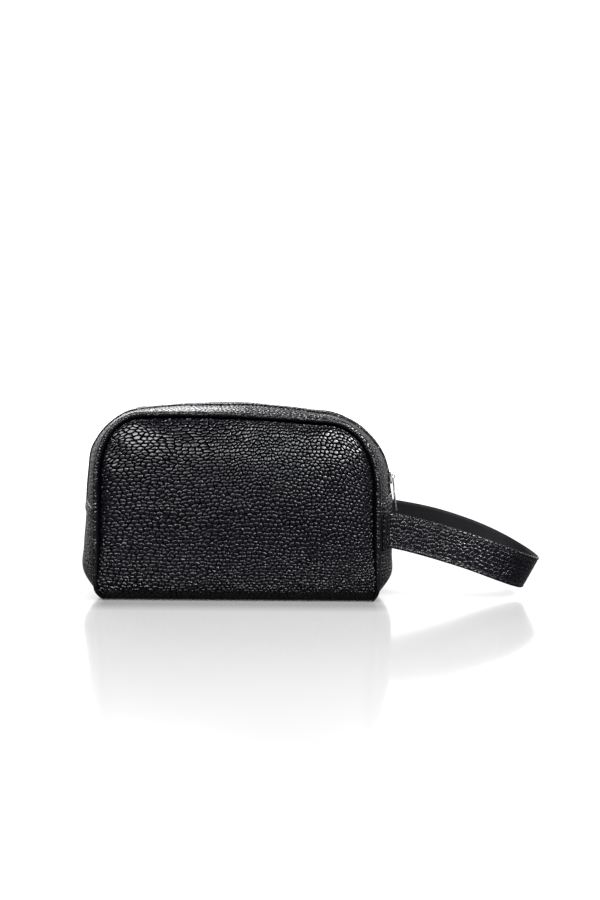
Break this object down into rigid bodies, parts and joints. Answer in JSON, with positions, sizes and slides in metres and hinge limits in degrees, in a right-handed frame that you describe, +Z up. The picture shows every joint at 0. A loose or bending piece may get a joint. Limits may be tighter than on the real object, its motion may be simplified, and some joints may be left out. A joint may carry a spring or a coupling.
{
  "type": "makeup bag",
  "caption": "Padded zip-top makeup bag in pebbled black leather with piped seams, a domed zip top that folds open, and a wrist strap loop on one side.",
  "frame": {"origin": "middle of the flat base, on the surface the bag stands on", "axes": "+X towards the side that carries the wrist strap, -Y towards the front face, +Z up"},
  "size_m": [0.3227, 0.0912, 0.1351],
  "materials": {
    "pebbled_leather": "pebbled grain, semi-matte with a soft sheen",
    "lining": "plain woven polyester, matte",
    "strap_lining": "smooth, semi-matte",
    "foam": "open-cell foam, matte",
    "board": "plain fibre board",
    "filler_cord": "twisted cotton cord, matte",
    "zip_tape": "woven tape, matte",
    "zip_coil": "nylon coil, satin",
    "zip_metal": "polished nickel plate"
  },
  "bodies": {
    "bag": {"wrap_leather": "pebbled_leather", "foam_front": "foam", "foam_rear": "foam", "lining_body": "lining", "slip_pocket": "lining", "base_board": "board", "side_panel_left": "pebbled_leather", "side_panel_right": "pebbled_leather", "side_lining_left": "lining", "side_lining_right": "lining", "left_strip_front": "pebbled_leather", "left_tape_front": "zip_tape", "left_coil_front": "zip_coil", "left_strip_rear": "pebbled_leather", "left_tape_rear": "zip_tape", "left_coil_rear": "zip_coil", "right_strip_front": "pebbled_leather", "right_tape_front": "zip_tape", "right_coil_front": "zip_coil", "right_strip_rear": "pebbled_leather", "right_tape_rear": "zip_tape", "right_coil_rear": "zip_coil", "zip_stop_left": "zip_coil", "zip_stop_right": "zip_coil", "piping_cover_front": "pebbled_leather", "piping_cord_front": "filler_cord", "piping_cover_rear": "pebbled_leather", "piping_cord_rear": "filler_cord", "strap_end_front": "pebbled_leather", "strap_end_rear": "pebbled_leather"},
    "lip_front": {"lip_strip_front": "pebbled_leather", "lip_tape_front": "zip_tape", "lip_coil_front": "zip_coil"},
    "lip_rear": {"lip_strip_rear": "pebbled_leather", "lip_tape_rear": "zip_tape", "lip_coil_rear": "zip_coil"},
    "slider": {"slider_body": "zip_metal", "slider_bridge": "zip_metal"},
    "pull": {"pull_tab": "zip_metal"},
    "strap": {"strap_leather": "pebbled_leather", "strap_backing": "strap_lining"}
  },
  "joints": [
    {"name": "zip_travel", "type": "hinge", "parent": "bag", "child": "slider", "pos_m": [0.0535, 0, 0.0764], "axis": [0, -1, 0], "range_deg": [0, 74]},
    {"name": "pull_swing", "type": "hinge", "parent": "slider", "child": "pull", "pos_m": [0.10942, 0, 0.08376], "axis": [0, -1, 0], "range_deg": [0, 150]},
    {"name": "lip_front_fold", "type": "hinge", "parent": "bag", "child": "lip_front", "pos_m": [-0.005, -0.035, 0.1275], "axis": [0.9995, 0, -0.0327], "range_deg": [0, 70]},
    {"name": "lip_rear_fold", "type": "hinge", "parent": "bag", "child": "lip_rear", "pos_m": [-0.005, 0.035, 0.1275], "axis": [-0.9995, 0, 0.0327], "range_deg": [0, 70]},
    {"name": "strap_swing", "type": "hinge", "parent": "bag", "child": "strap", "pos_m": [0.1196, 0, 0.0484], "axis": [0, -1, 0], "range_deg": [0, 50]}
  ]
}
